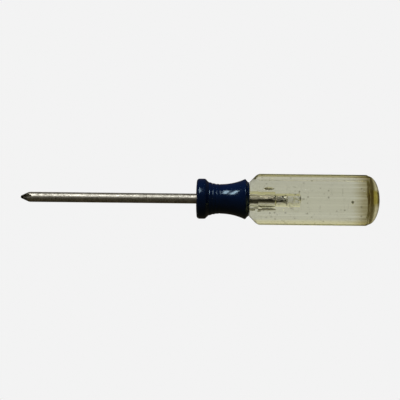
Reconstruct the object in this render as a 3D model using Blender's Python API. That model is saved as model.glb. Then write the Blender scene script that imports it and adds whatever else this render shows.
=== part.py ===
"""Cross-point screwdriver: a steel blade, a clear ten-sided handle and a collar over the handle's neck.

The tool lies along X on one flat of its handle, tip towards -X, with Z up. The origin is under the
middle of its length, on the surface that it rests on. Every length is in metres.
"""

import math

import bmesh
import bpy

MM = 0.001

# Clearance between pieces that touch on the real tool.
FIT_GAP = 0.3 * MM

# Blade: a round bar with a cross point at one end and swaged wings at the buried end.
SHANK_RADIUS = 2.9 * MM
BLADE_EXPOSED = 101.6 * MM
BLADE_BURIED = 53.0 * MM
POINT_RADIUS = 0.65 * MM
POINT_HALF_ANGLE = math.radians(26.5)
BLADE_END_CHAMFER = 0.5 * MM

# Flutes of the cross point. A flute's floor keeps this far from the planes of the two wings beside it.
FLUTE_COUNT = 4
FLUTE_LENGTH = 7.0 * MM
FLUTE_START_OFFSET = 0.42 * MM
FLUTE_RISE_ANGLE = math.radians(5.75)
FLUTE_RUNOUT_RADIUS = 5.0 * MM
FLUTE_RUNOUT_ANGLE = math.radians(45.0)
FLUTE_ROLL = math.radians(52.0)
FLUTE_STATIONS = 10

# Wings that keep the blade from turning in the handle, and the dents that the swage leaves beside them.
WING_HEIGHT = 0.9 * MM
WING_THICKNESS = 1.4 * MM
WING_TIP_THICKNESS = 0.7 * MM
WING_LENGTH = 6.5 * MM
WING_SLOPE = 1.2 * MM
WING_END_MARGIN = 1.6 * MM
DENT_RADIUS = 6.0 * MM
DENT_DEPTH = 0.8 * MM

# Handle: neck, 45 degree shoulder, ten-sided body and domed butt.
HANDLE_SIDES = 10
HANDLE_CORNER_RADIUS = 14.8 * MM
NECK_RADIUS = 7.0 * MM
SHOULDER_LIP = 0.3 * MM
SHOULDER_ANGLE = math.radians(45.0)
SHOULDER_BLEND = 4.6 * MM
BODY_LENGTH = 68.8 * MM
BUTT_INSET = 0.65 * MM
BUTT_HEIGHT = 6.6 * MM
BUTT_ROUND_START = 0.5 * MM
BUTT_STEP = 0.2 * MM
TURNING_ALLOWANCE = 0.125 * MM

# Bore of the handle: a lead-in, a close stretch for the blade's end and an empty pocket behind it.
LEAD_IN_CLEARANCE = 0.4 * MM
CLOSE_STRETCH = 7.3 * MM
POCKET_LENGTH = 9.0 * MM
DRILL_POINT_ANGLE = math.radians(59.0)

# Collar: flange, waist with shallow rings, and a flared rear rim. Heights are above the waist.
COLLAR_LENGTH = 30.7 * MM
COLLAR_FRONT_WALL = 3.0 * MM
WAIST_WALL = 1.28 * MM
WAIST_START = 7.1 * MM
WAIST_POSITION = 14.2 * MM
WAIST_START_HEIGHT = 1.35 * MM
FACE_CROWN = 0.35 * MM
FACE_HEIGHT = 1.32 * MM
FLANGE_HEIGHT = 3.04 * MM
FLANGE_START = 2.2 * MM
FLANGE_END = 4.7 * MM
FLANGE_CORNER = 1.4 * MM
FLANGE_CORNER_END = math.radians(35.0)
RIM_HEIGHT = 3.08 * MM
RIM_FLAT = 0.4 * MM
RIM_TO_REAR = 2.05 * MM
REAR_FACE_HEIGHT = 1.22 * MM
REAR_STEP = 0.85 * MM
REAR_CHAMFER = 0.4 * MM
RING_COUNT = 4
RING_PITCH = 2.05 * MM
RING_WIDTH = 0.9 * MM
RING_DEPTH = 0.15 * MM

# How finely round shapes are divided, and how far a cutter reaches past what it cuts.
TURNED_SEGMENTS = 64
HANDLE_SEGMENTS = 80
DIE_SEGMENTS = 48
ARC_STEPS = 6
CUTTER_MARGIN = 2.0 * MM
MERGE_DISTANCE = 0.001 * MM
QUARTER_TURN = math.pi / 2

# Sizes that follow from the ones above.
HANDLE_APOTHEM = HANDLE_CORNER_RADIUS * math.cos(math.pi / HANDLE_SIDES)
BUTT_RADIUS = HANDLE_CORNER_RADIUS - BUTT_INSET
BLADE_LENGTH = BLADE_EXPOSED + BLADE_BURIED
BLADE_BORE_RADIUS = SHANK_RADIUS + FIT_GAP
LEAD_IN_RADIUS = BLADE_BORE_RADIUS + LEAD_IN_CLEARANCE
WING_HALF_SPAN = SHANK_RADIUS + WING_HEIGHT
WING_END = BLADE_LENGTH - WING_END_MARGIN
WING_MIDDLE = WING_END - WING_LENGTH / 2
NECK_BORE_RADIUS = NECK_RADIUS + FIT_GAP
WAIST_RADIUS = NECK_BORE_RADIUS + WAIST_WALL
FACE_RADIUS = WAIST_RADIUS + FACE_HEIGHT
FLANGE_RADIUS = WAIST_RADIUS + FLANGE_HEIGHT
REAR_FACE_RADIUS = WAIST_RADIUS + REAR_FACE_HEIGHT
RIM_POSITION = COLLAR_LENGTH - RIM_TO_REAR - RIM_FLAT
SHOULDER_RADIUS = REAR_FACE_RADIUS + SHOULDER_LIP
NECK_START = BLADE_EXPOSED + COLLAR_FRONT_WALL + FIT_GAP
SHOULDER_START = BLADE_EXPOSED + COLLAR_LENGTH + FIT_GAP
BODY_END = SHOULDER_START + BODY_LENGTH
OVERALL_LENGTH = BODY_END + BUTT_HEIGHT


def clear_scene():
    for old in list(bpy.data.objects):
        bpy.data.objects.remove(old)


def material(name, colour, metallic, roughness, transmission=0.0):
    made = bpy.data.materials.new(name)
    made.use_nodes = True
    shader = made.node_tree.nodes["Principled BSDF"]
    shader.inputs["Base Color"].default_value = (*colour, 1.0)
    shader.inputs["Metallic"].default_value = metallic
    shader.inputs["Roughness"].default_value = roughness
    shader.inputs["Transmission Weight"].default_value = transmission
    return made


def object_from(name, bm):
    bmesh.ops.recalc_face_normals(bm, faces=bm.faces)
    mesh = bpy.data.meshes.new(name)
    bm.to_mesh(mesh)
    bm.free()
    made = bpy.data.objects.new(name, mesh)
    bpy.context.collection.objects.link(made)
    return made


def arc(centre_x, centre_r, radius, start, end, steps=ARC_STEPS):
    """Points (x, r) on an arc, between two angles in radians, measured from +x towards +r."""
    angles = [start + (end - start) * k / steps for k in range(steps + 1)]
    return [(centre_x + radius * math.cos(a), centre_r + radius * math.sin(a)) for a in angles]


def turned(name, outline, segments, closed=False):
    """Spins the outline's points (x, r) about X. An open outline starts and ends on the axis."""
    bm = bmesh.new()
    points = [bm.verts.new((x, 0.0, r)) for x, r in outline]
    edges = [bm.edges.new(pair) for pair in zip(points[:-1], points[1:])]
    if closed:
        edges.append(bm.edges.new((points[-1], points[0])))
    bmesh.ops.spin(
        bm, geom=points + edges, cent=(0, 0, 0), axis=(1, 0, 0), angle=math.tau, steps=segments
    )
    bmesh.ops.remove_doubles(bm, verts=bm.verts, dist=MERGE_DISTANCE)
    return object_from(name, bm)


def prism(name, outline, start, end):
    """Extrudes the outline's points (y, z) along X."""
    bm = bmesh.new()
    face = bm.faces.new([bm.verts.new((start, y, z)) for y, z in outline])
    grown = bmesh.ops.extrude_face_region(bm, geom=[face])
    moved = [item for item in grown["geom"] if isinstance(item, bmesh.types.BMVert)]
    bmesh.ops.translate(bm, verts=moved, vec=(end - start, 0, 0))
    return object_from(name, bm)


def loft(name, sections):
    """Joins a row of sections, all with the same number of points, into one closed body."""
    bm = bmesh.new()
    rings = [[bm.verts.new(point) for point in section] for section in sections]
    for ring, following in zip(rings[:-1], rings[1:]):
        for k in range(len(ring)):
            after = (k + 1) % len(ring)
            bm.faces.new((ring[k], ring[after], following[after], following[k]))
    bm.faces.new(rings[0])
    bm.faces.new(rings[-1])
    return object_from(name, bm)


def combine(target, operation, tool):
    """Adds a Boolean to target. The tool stays in the scene as a hidden guide."""
    tool.hide_render = True
    tool.display_type = "WIRE"
    tool.parent = target
    modifier = target.modifiers.new(f"{operation.lower()} {tool.name}", "BOOLEAN")
    modifier.operation = operation
    modifier.object = tool


def shade_round(made, sharp_angle):
    made.data.shade_smooth()
    made.data.set_sharp_from_angle(angle=sharp_angle)


def flute_offset(x):
    """How far a flute's two faces stay from the wing planes, x along the blade from its point."""
    runout_start = FLUTE_LENGTH - FLUTE_RUNOUT_RADIUS * math.sin(FLUTE_RUNOUT_ANGLE)
    along_arc = max(0.0, x - runout_start)
    lift = FLUTE_RUNOUT_RADIUS - math.sqrt(FLUTE_RUNOUT_RADIUS**2 - along_arc**2)
    return FLUTE_START_OFFSET + math.tan(FLUTE_RISE_ANGLE) * x + lift


def flute_cutter(index):
    """One quadrant between two wings: its inner corner rises slowly, then runs out along an arc."""
    far = SHANK_RADIUS + CUTTER_MARGIN
    sections = []
    for k in range(FLUTE_STATIONS + 1):
        x = FLUTE_LENGTH * k / FLUTE_STATIONS
        near = flute_offset(x)
        sections.append([(x, near, near), (x, far, near), (x, far, far), (x, near, far)])
    first = [(-CUTTER_MARGIN, y, z) for _, y, z in sections[0]]
    made = loft(f"flute_cutter_{index + 1}", [first] + sections)
    made.rotation_euler.x = FLUTE_ROLL + math.tau * index / FLUTE_COUNT
    return made


def wing_plate():
    """A flat plate across the shank, in the X-Z plane, with sloping ends."""
    start = WING_END - WING_LENGTH
    inside_shank = SHANK_RADIUS / 2
    stations = (
        (start, inside_shank),
        (start + WING_SLOPE, WING_HALF_SPAN),
        (WING_END - WING_SLOPE, WING_HALF_SPAN),
        (WING_END, inside_shank),
    )
    half_root = WING_THICKNESS / 2
    half_tip = WING_TIP_THICKNESS / 2
    sections = []
    for x, reach in stations:
        upper = [(x, -half_root, 0.0), (x, -half_tip, reach), (x, half_tip, reach)]
        lower = [(x, half_root, 0.0), (x, half_tip, -reach), (x, -half_tip, -reach)]
        sections.append(upper + lower)
    return loft("wing_plate", sections)


def dent_cutter(side):
    """A round die pressed into the shank from one side, beside the wings."""
    depth = 2 * (SHANK_RADIUS + CUTTER_MARGIN)
    bm = bmesh.new()
    bmesh.ops.create_cone(
        bm,
        cap_ends=True,
        segments=DIE_SEGMENTS,
        radius1=DENT_RADIUS,
        radius2=DENT_RADIUS,
        depth=depth,
    )
    made = object_from("dent_cutter_left" if side < 0 else "dent_cutter_right", bm)
    made.location = (WING_MIDDLE, side * (SHANK_RADIUS - DENT_DEPTH + DENT_RADIUS), 0.0)
    return made


def make_blade():
    cone_length = (SHANK_RADIUS - POINT_RADIUS) / math.tan(POINT_HALF_ANGLE)
    outline = [
        (0.0, 0.0),
        (0.0, POINT_RADIUS),
        (cone_length, SHANK_RADIUS),
        (BLADE_LENGTH - BLADE_END_CHAMFER, SHANK_RADIUS),
        (BLADE_LENGTH, SHANK_RADIUS - BLADE_END_CHAMFER),
        (BLADE_LENGTH, 0.0),
    ]
    blade = turned("blade", outline, TURNED_SEGMENTS)
    for index in range(FLUTE_COUNT):
        combine(blade, "DIFFERENCE", flute_cutter(index))
    for side in (-1, 1):
        combine(blade, "DIFFERENCE", dent_cutter(side))
    combine(blade, "UNION", wing_plate())
    shade_round(blade, math.radians(35.0))
    blade.data.materials.append(material("nickel_plated_steel", (0.46, 0.43, 0.36), 1.0, 0.34))
    return blade


def butt_outline():
    """The domed end: a half ellipse whose centre lies a little inside the ten-sided body."""
    round_length = BUTT_HEIGHT + BUTT_ROUND_START
    centre = BODY_END - BUTT_ROUND_START
    first = math.asin(BUTT_ROUND_START / round_length)
    outline = []
    steps = 2 * ARC_STEPS
    for k in range(steps):
        turn = first + (QUARTER_TURN - first) * k / steps
        outline.append((centre + round_length * math.sin(turn), BUTT_RADIUS * math.cos(turn)))
    return outline + [(OVERALL_LENGTH, 0.0)]


def handle_envelope():
    """The turned outline that the ten-sided bar is cut to, from the neck's front to the butt."""
    limit = HANDLE_CORNER_RADIUS + TURNING_ALLOWANCE
    blend_reach = SHOULDER_BLEND * math.tan(SHOULDER_ANGLE / 2)
    cone_end = SHOULDER_START + (limit - SHOULDER_RADIUS) / math.tan(SHOULDER_ANGLE)
    outline = [(NECK_START, 0.0), (NECK_START, NECK_RADIUS)]
    outline += [(SHOULDER_START, NECK_RADIUS), (SHOULDER_START, SHOULDER_RADIUS)]
    outline += arc(
        cone_end + blend_reach,
        limit - SHOULDER_BLEND,
        SHOULDER_BLEND,
        QUARTER_TURN + SHOULDER_ANGLE,
        QUARTER_TURN,
        2 * ARC_STEPS,
    )
    outline += [(BODY_END - BUTT_STEP, limit)]
    return outline + butt_outline()


def ten_sided_bar():
    """The bar's outline has a flat facing down and, with an even number of sides, one facing up."""
    corners = []
    for k in range(HANDLE_SIDES):
        turn = math.tau * (k + 0.5) / HANDLE_SIDES
        corners.append((HANDLE_CORNER_RADIUS * math.sin(turn), HANDLE_CORNER_RADIUS * math.cos(turn)))
    return prism("ten_sided_bar", corners, NECK_START - CUTTER_MARGIN, OVERALL_LENGTH + CUTTER_MARGIN)


def bore_cutter():
    lead_in_end = BLADE_LENGTH - CLOSE_STRETCH
    bottom = BLADE_LENGTH + POCKET_LENGTH
    drill_point = BLADE_BORE_RADIUS / math.tan(DRILL_POINT_ANGLE)
    outline = [
        (NECK_START - CUTTER_MARGIN, 0.0),
        (NECK_START - CUTTER_MARGIN, LEAD_IN_RADIUS),
        (lead_in_end, LEAD_IN_RADIUS),
        (lead_in_end + LEAD_IN_CLEARANCE, BLADE_BORE_RADIUS),
        (bottom - drill_point, BLADE_BORE_RADIUS),
        (bottom, 0.0),
    ]
    return turned("bore_cutter", outline, TURNED_SEGMENTS)


def wing_pocket():
    """Room in the handle's bore for the blade's wings."""
    half_width = WING_THICKNESS / 2 + FIT_GAP
    half_height = WING_HALF_SPAN + FIT_GAP
    start = WING_END - WING_LENGTH - FIT_GAP
    end = WING_END + FIT_GAP
    corners = [
        (-half_width, -half_height),
        (half_width, -half_height),
        (half_width, half_height),
        (-half_width, half_height),
    ]
    return prism("wing_pocket", corners, start, end)


def make_handle():
    handle = turned("handle", handle_envelope(), HANDLE_SEGMENTS)
    combine(handle, "INTERSECT", ten_sided_bar())
    combine(handle, "DIFFERENCE", bore_cutter())
    combine(handle, "DIFFERENCE", wing_pocket())
    shade_round(handle, math.radians(20.0))
    handle.data.materials.append(
        material("clear_acetate", (0.80, 0.80, 0.66), 0.0, 0.06, transmission=1.0)
    )
    return handle


def waist_radius(x):
    """Radius of the waist's outline, x from the collar's front face: one arc before the narrowest
    place and a second one behind it, each tangent to it there."""
    end, height = WAIST_START, WAIST_START_HEIGHT
    if x > WAIST_POSITION:
        end, height = RIM_POSITION, RIM_HEIGHT
    arc_radius = ((end - WAIST_POSITION) ** 2 + height**2) / (2 * height)
    return WAIST_RADIUS + arc_radius - math.sqrt(arc_radius**2 - (x - WAIST_POSITION) ** 2)


def waist_outline():
    outline = [(WAIST_START, waist_radius(WAIST_START))]
    first_ring = WAIST_POSITION - (RING_COUNT - 1) * RING_PITCH
    for k in range(RING_COUNT):
        ring = first_ring + k * RING_PITCH
        front, back = ring - RING_WIDTH / 2, ring + RING_WIDTH / 2
        outline.append((front, waist_radius(front)))
        outline.append((ring, waist_radius(ring) - RING_DEPTH))
        outline.append((back, waist_radius(back)))
    start = WAIST_POSITION + RING_WIDTH
    steps = 2 * ARC_STEPS
    for k in range(steps + 1):
        x = start + (RIM_POSITION - start) * k / steps
        outline.append((x, waist_radius(x)))
    return outline


def collar_outline():
    """Closed outline (x, r) with x from the collar's front face: outside first, then back inside."""
    outline = [(0.0, BLADE_BORE_RADIUS), (FACE_CROWN, FACE_RADIUS)]
    for k in range(1, ARC_STEPS):
        turn = QUARTER_TURN * k / ARC_STEPS
        x = FLANGE_START - (FLANGE_START - FACE_CROWN) * math.cos(turn)
        outline.append((x, FACE_RADIUS + (FLANGE_RADIUS - FACE_RADIUS) * math.sin(turn)))
    outline.append((FLANGE_START, FLANGE_RADIUS))
    corner_r = FLANGE_RADIUS - FLANGE_CORNER
    outline += arc(FLANGE_END, corner_r, FLANGE_CORNER, QUARTER_TURN, FLANGE_CORNER_END)
    outline += waist_outline()
    outline.append((RIM_POSITION + RIM_FLAT, WAIST_RADIUS + RIM_HEIGHT))
    outline.append((COLLAR_LENGTH - REAR_STEP, REAR_FACE_RADIUS + REAR_CHAMFER))
    outline.append((COLLAR_LENGTH, REAR_FACE_RADIUS))
    outline.append((COLLAR_LENGTH, NECK_BORE_RADIUS))
    outline.append((COLLAR_FRONT_WALL, NECK_BORE_RADIUS))
    outline.append((COLLAR_FRONT_WALL, BLADE_BORE_RADIUS))
    return outline


def make_collar():
    collar = turned("collar", collar_outline(), TURNED_SEGMENTS, closed=True)
    collar.location.x = BLADE_EXPOSED
    shade_round(collar, math.radians(30.0))
    collar.data.materials.append(material("navy_plastic", (0.004, 0.018, 0.06), 0.0, 0.2))
    return collar


def main():
    clear_scene()
    axis = bpy.data.objects.new("screwdriver_axis", None)
    bpy.context.collection.objects.link(axis)
    axis.location = (-OVERALL_LENGTH / 2, 0.0, HANDLE_APOTHEM)
    for piece in (make_blade(), make_handle(), make_collar()):
        piece.parent = axis


main()
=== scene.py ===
# %% [markdown]
# # A cross-point screwdriver with a clear handle
#
# The tool has three pieces: a nickel-plated steel blade, a clear plastic handle that was cut from a
# ten-sided bar, and a dark blue collar pushed over the handle's neck. The engineering model already
# gives each piece its true size and place. This lesson models each one again with finer surfaces,
# gives it a finish, and lights it in a small studio.

# %% Load the fixed frame
import math

import bmesh
import bpy
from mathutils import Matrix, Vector


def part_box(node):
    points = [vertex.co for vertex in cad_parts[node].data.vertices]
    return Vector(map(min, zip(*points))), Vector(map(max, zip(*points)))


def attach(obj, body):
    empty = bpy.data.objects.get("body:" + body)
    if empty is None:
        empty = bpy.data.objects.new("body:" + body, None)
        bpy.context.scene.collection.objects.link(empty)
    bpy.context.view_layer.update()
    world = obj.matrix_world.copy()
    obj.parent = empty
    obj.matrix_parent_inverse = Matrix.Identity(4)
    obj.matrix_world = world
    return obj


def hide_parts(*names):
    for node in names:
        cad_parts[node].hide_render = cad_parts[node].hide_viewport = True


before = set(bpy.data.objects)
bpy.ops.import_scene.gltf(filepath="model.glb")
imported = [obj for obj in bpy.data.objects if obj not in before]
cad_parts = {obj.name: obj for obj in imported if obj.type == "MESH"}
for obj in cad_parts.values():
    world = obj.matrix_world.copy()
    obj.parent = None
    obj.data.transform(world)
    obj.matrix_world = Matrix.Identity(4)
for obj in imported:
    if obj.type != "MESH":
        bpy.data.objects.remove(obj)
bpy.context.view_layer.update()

MM = 0.001
print("pieces:", sorted(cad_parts))

# %% [markdown]
# ## Sizes
#
# Every length is read from the engineering model or written once here. The tool lies along X, tip
# towards -X, so one number places a point along it, and a second one says how far it is from the
# axis. Reading the main sizes from the model keeps the two from drifting apart.

# %% Places along the tool
blade_low, blade_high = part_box("blade")
collar_low, collar_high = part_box("collar")
handle_low, handle_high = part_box("handle")

TIP = blade_low.x
BLADE_END = blade_high.x
COLLAR_FRONT = collar_low.x
COLLAR_REAR = collar_high.x
NECK_FRONT = handle_low.x
BUTT_END = handle_high.x
CORNER_RADIUS = (handle_high.y - handle_low.y) / 2
SIDES = 10
APOTHEM = CORNER_RADIUS * math.cos(math.pi / SIDES)
AXIS_Z = handle_low.z + APOTHEM
SHANK_RADIUS = (blade_high.y - blade_low.y) / 2
FIT_GAP = 0.3 * MM
print("tool length", round(BUTT_END - TIP, 4), "axis height", round(AXIS_Z, 5))

# %% [markdown]
# ## Helpers for modelling by hand
#
# An operator works on all that is selected, so `start_fresh` comes before each new piece. A finished
# piece keeps its place in its mesh, with its origin at the world's: `settle` does that.


# %% Start, select and finish
def start_fresh():
    if bpy.context.mode != "OBJECT":
        bpy.ops.object.mode_set(mode="OBJECT")
    bpy.ops.object.select_all(action="DESELECT")


def make_active(piece):
    start_fresh()
    piece.select_set(True)
    bpy.context.view_layer.objects.active = piece


def select_in_edit_mode(piece, kind, wanted):
    """Selects the faces or edges for which wanted(item) is true, and leaves edit mode open."""
    make_active(piece)
    bpy.ops.object.mode_set(mode="EDIT")
    bpy.ops.mesh.select_mode(type="FACE" if kind == "faces" else "EDGE")
    bpy.ops.mesh.select_all(action="DESELECT")
    mesh = bmesh.from_edit_mesh(piece.data)
    for item in getattr(mesh, kind):
        if wanted(item):
            item.select_set(True)
    mesh.select_flush_mode()
    bmesh.update_edit_mesh(piece.data)


def settle(piece):
    """Puts the object's origin at the world's, with its place in its mesh."""
    make_active(piece)
    bpy.ops.object.transform_apply(location=True, rotation=True, scale=True)


def smooth(piece, degrees):
    make_active(piece)
    bpy.ops.object.shade_smooth_by_angle(angle=math.radians(degrees))


def count(piece):
    return f"{piece.name}: {len(piece.data.vertices)} points, {len(piece.data.polygons)} faces"


# %% [markdown]
# ## A lathe and a cutter
#
# Most of the tool is turned. A Screw modifier or a scaled cylinder could give a round piece, but
# drawing half of its outline, point by point, and spinning that about the tool's axis is how a lathe
# works, and every radius stays a number that can be read. What isn't round is cut by a Boolean.


# %% Lathe and Boolean
def arc(centre_x, centre_r, radius, start, end, steps):
    """Points (x, r) on an arc between two angles in degrees, from +x towards +r."""
    turns = [math.radians(start + (end - start) * k / steps) for k in range(steps + 1)]
    return [(centre_x + radius * math.cos(t), centre_r + radius * math.sin(t)) for t in turns]


def lathe(name, outline, steps):
    """Extrudes one point along the outline (x, r), then spins it about the tool's axis."""
    start_fresh()
    first_x, first_r = outline[0]
    bpy.ops.mesh.primitive_plane_add(size=MM, location=(first_x, 0, AXIS_Z + first_r))
    piece = bpy.context.object
    piece.name = name
    settle(piece)
    bpy.ops.object.mode_set(mode="EDIT")
    bpy.ops.mesh.select_mode(type="VERT")
    bpy.ops.mesh.select_all(action="SELECT")
    bpy.ops.mesh.merge(type="CENTER")
    for (x, r), (next_x, next_r) in zip(outline[:-1], outline[1:]):
        move = (next_x - x, 0, next_r - r)
        bpy.ops.mesh.extrude_region_move(TRANSFORM_OT_translate={"value": move})
    bpy.ops.mesh.select_all(action="SELECT")
    bpy.ops.mesh.spin(steps=steps, angle=math.tau, center=(0, 0, AXIS_Z), axis=(1, 0, 0))
    bpy.ops.mesh.select_all(action="SELECT")
    bpy.ops.mesh.remove_doubles(threshold=0.001 * MM)
    bpy.ops.mesh.normals_make_consistent(inside=False)
    bpy.ops.object.mode_set(mode="OBJECT")
    return piece


def cut(piece, operation, tool):
    """Applies a Boolean and throws the tool away."""
    make_active(piece)
    modifier = piece.modifiers.new("cut", "BOOLEAN")
    modifier.operation = operation
    modifier.object = tool
    modifier.solver = "EXACT"
    bpy.ops.object.modifier_apply(modifier=modifier.name)
    bpy.data.objects.remove(tool)


def block(centre, sizes):
    """A box with its middle at centre, for a plate or a pocket."""
    start_fresh()
    bpy.ops.mesh.primitive_cube_add(size=1, location=centre)
    made = bpy.context.object
    made.scale = sizes
    settle(made)
    return made


# %% [markdown]
# ## The blade
#
# A real blade is cold-drawn round bar. The cone is turned, four flutes are ground into it, and what
# stays between them is the cross. At the other end a press swages two wings out of the bar and leaves
# a dent on either side of them. The lesson keeps the order of the workshop, because each cut then
# finds the bar as the real tool would: turned outline first, then flutes, dents and wings.

# %% Turn the bar
POINT_RADIUS = 0.65 * MM
POINT_HALF_ANGLE = 26.5
POINT_CHAMFER = 0.12 * MM
CONE_BLEND = 2.4 * MM
END_CHAMFER = 0.5 * MM
SHANK_STATIONS = 60
point_slope = math.tan(math.radians(POINT_HALF_ANGLE))
cone_length = (SHANK_RADIUS - POINT_RADIUS) / point_slope
cone_reach = CONE_BLEND * math.tan(math.radians(POINT_HALF_ANGLE / 2))

blade_outline = [
    (TIP, 0.0),
    (TIP, POINT_RADIUS - POINT_CHAMFER),
    (TIP + POINT_CHAMFER, POINT_RADIUS + POINT_CHAMFER * point_slope),
]
blade_outline += arc(
    TIP + cone_length + cone_reach,
    SHANK_RADIUS - CONE_BLEND,
    CONE_BLEND,
    start=90 + POINT_HALF_ANGLE,
    end=90,
    steps=10,
)
straight_start = blade_outline[-1][0]
straight_end = BLADE_END - END_CHAMFER
for k in range(1, SHANK_STATIONS + 1):
    x = straight_start + (straight_end - straight_start) * k / SHANK_STATIONS
    blade_outline.append((x, SHANK_RADIUS))
blade_outline += [(BLADE_END, SHANK_RADIUS - END_CHAMFER), (BLADE_END, 0.0)]
blade = lathe("steel_blade", blade_outline, steps=96)
print(count(blade))

# %% [markdown]
# ## Flutes
#
# One flute is the room between two wings. Its floor starts close to the axis, climbs gently and runs
# out of the bar along the arc of the grinding wheel. Four cones would be quicker but leave the wrong
# wings. The cutter is a bar with that floor, made once for each flute and turned into its place.

# %% The flute's floor
FLUTE_COUNT = 4
FLUTE_LENGTH = 7.0 * MM
FLUTE_OFFSET = 0.42 * MM
FLUTE_CLIMB = math.tan(math.radians(5.75))
FLUTE_STATIONS = 16
WHEEL_RADIUS = 5.0 * MM
WHEEL_EXIT = math.radians(45)
FLUTE_ROLL = math.radians(52.0)


def flute_floor(x):
    """How far the flute's floor is from the planes of the two wings, x from the tip."""
    wheel_start = FLUTE_LENGTH - WHEEL_RADIUS * math.sin(WHEEL_EXIT)
    along = max(0.0, x - wheel_start)
    return FLUTE_OFFSET + FLUTE_CLIMB * x + WHEEL_RADIUS - math.sqrt(WHEEL_RADIUS**2 - along**2)


print("flute floor in mm:", [round(flute_floor(x * MM) / MM, 2) for x in (0, 3, 7)])


# %% Grind four flutes
def flute_cutter(roll):
    """A bar whose lower corner follows the flute's floor, extruded station by station."""
    start_fresh()
    near, far = flute_floor(0.0), SHANK_RADIUS * 2
    side = far - near
    bpy.ops.mesh.primitive_plane_add(size=side, rotation=(0, math.pi / 2, 0))
    bar = bpy.context.object
    bar.location = (TIP - MM, near + side / 2, AXIS_Z + near + side / 2)
    settle(bar)
    bpy.ops.object.mode_set(mode="EDIT")
    bpy.ops.mesh.select_all(action="SELECT")
    bpy.ops.mesh.extrude_region_move(TRANSFORM_OT_translate={"value": (MM, 0, 0)})
    outer = (TIP, far, AXIS_Z + far)
    for k in range(1, FLUTE_STATIONS + 1):
        x, x_before = (FLUTE_LENGTH * i / FLUTE_STATIONS for i in (k, k - 1))
        bpy.ops.mesh.extrude_region_move(TRANSFORM_OT_translate={"value": (x - x_before, 0, 0)})
        share = (far - flute_floor(x)) / (far - flute_floor(x_before))
        bpy.ops.transform.resize(value=(1, share, share), center_override=outer)
    bpy.ops.mesh.select_all(action="SELECT")
    bpy.ops.mesh.normals_make_consistent(inside=False)
    bpy.ops.transform.rotate(value=roll, orient_axis="X", center_override=(TIP, 0, AXIS_Z))
    bpy.ops.object.mode_set(mode="OBJECT")
    return bar


for k in range(FLUTE_COUNT):
    cut(blade, "DIFFERENCE", flute_cutter(FLUTE_ROLL + math.tau * k / FLUTE_COUNT))
print(count(blade))

# %% [markdown]
# ## Wings and dents at the buried end
#
# They keep the blade from turning in its handle, and they show through the plastic, so they are
# modelled too. Two round dies dent the bar from the sides. The metal that they push out is a thin
# plate with bevelled corners, joined to the bar.

# %% Press the dents
WING_LENGTH = 6.5 * MM
WING_MARGIN = 1.6 * MM
DIE_RADIUS = 6.0 * MM
DENT_DEPTH = 0.8 * MM
wing_middle = BLADE_END - WING_MARGIN - WING_LENGTH / 2

for side in (-1, 1):
    start_fresh()
    bpy.ops.mesh.primitive_cylinder_add(
        vertices=96,
        radius=DIE_RADIUS,
        depth=4 * SHANK_RADIUS,
        location=(wing_middle, side * (SHANK_RADIUS - DENT_DEPTH + DIE_RADIUS), AXIS_Z),
    )
    die = bpy.context.object
    settle(die)
    cut(blade, "DIFFERENCE", die)
print(count(blade))

# %% Swage the wings
WING_HEIGHT = 7.6 * MM
WING_THICKNESS = 1.4 * MM
WING_CORNER = 1.2 * MM

wings = block((wing_middle, 0, AXIS_Z), (WING_LENGTH, WING_THICKNESS, WING_HEIGHT))
select_in_edit_mode(wings, "edges", lambda e: abs((e.verts[0].co - e.verts[1].co).y) > MM)
bpy.ops.mesh.bevel(offset=WING_CORNER, segments=4, affect="EDGES")
bpy.ops.object.mode_set(mode="OBJECT")
cut(blade, "UNION", wings)
smooth(blade, degrees=32)
print(count(blade))

# %% [markdown]
# ## The collar
#
# The collar is an injection-moulded sleeve: a flange in front with a rounded rim, a waist for finger
# and thumb, and a flared rim behind. Four shallow rings on the front half of the waist keep the
# fingers from slipping. All of it is one outline on the lathe, outside first and back through the
# bore. A bent cylinder would need a Solidify modifier, and this way the wall has its real thickness.


# %% Waist and rings
NECK_RADIUS = 7.0 * MM
WAIST_RADIUS = 8.58 * MM
WAIST_AT = 14.2 * MM
FRONT_ARC = 19.4 * MM
REAR_ARC = 33.6 * MM
RING_COUNT = 4
RING_PITCH = 2.05 * MM
RING_DEPTH = 0.2 * MM
RING_WIDTH = 1.0 * MM
LAST_RING = 13.6 * MM
collar_length = COLLAR_REAR - COLLAR_FRONT


def waist(x):
    """Radius of the waist, x from the collar's front."""
    radius = FRONT_ARC if x < WAIST_AT else REAR_ARC
    return WAIST_RADIUS + radius - math.sqrt(radius**2 - (x - WAIST_AT) ** 2)


def ring_dip(x):
    """How deep the nearest of the shallow rings is at x."""
    first = LAST_RING - (RING_COUNT - 1) * RING_PITCH
    nearest = first + RING_PITCH * min(RING_COUNT - 1, max(0, round((x - first) / RING_PITCH)))
    away = abs(x - nearest)
    if away > RING_WIDTH / 2:
        return 0.0
    return RING_DEPTH * (1 + math.cos(math.tau * away / RING_WIDTH)) / 2


print("collar length in mm:", round(collar_length / MM, 2), "waist:", round(2 * WAIST_RADIUS / MM, 2))

# %% Turn the collar
FRONT_WALL = 3.0 * MM
FACE_CROWN = 0.35 * MM
FACE_RADIUS = 9.9 * MM
FACE_MIDDLE = (0.3 * FACE_CROWN, 0.7 * FACE_RADIUS)
FLANGE_RADIUS = (collar_high.y - collar_low.y) / 2
FLANGE_START = 2.2 * MM
FLANGE_END = 4.7 * MM
FLANGE_CORNER = 1.4 * MM
FLANGE_STEPS = 12
WAIST_START = 7.1 * MM
WAIST_STATIONS = 240
RIM_AT = 28.25 * MM
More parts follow.
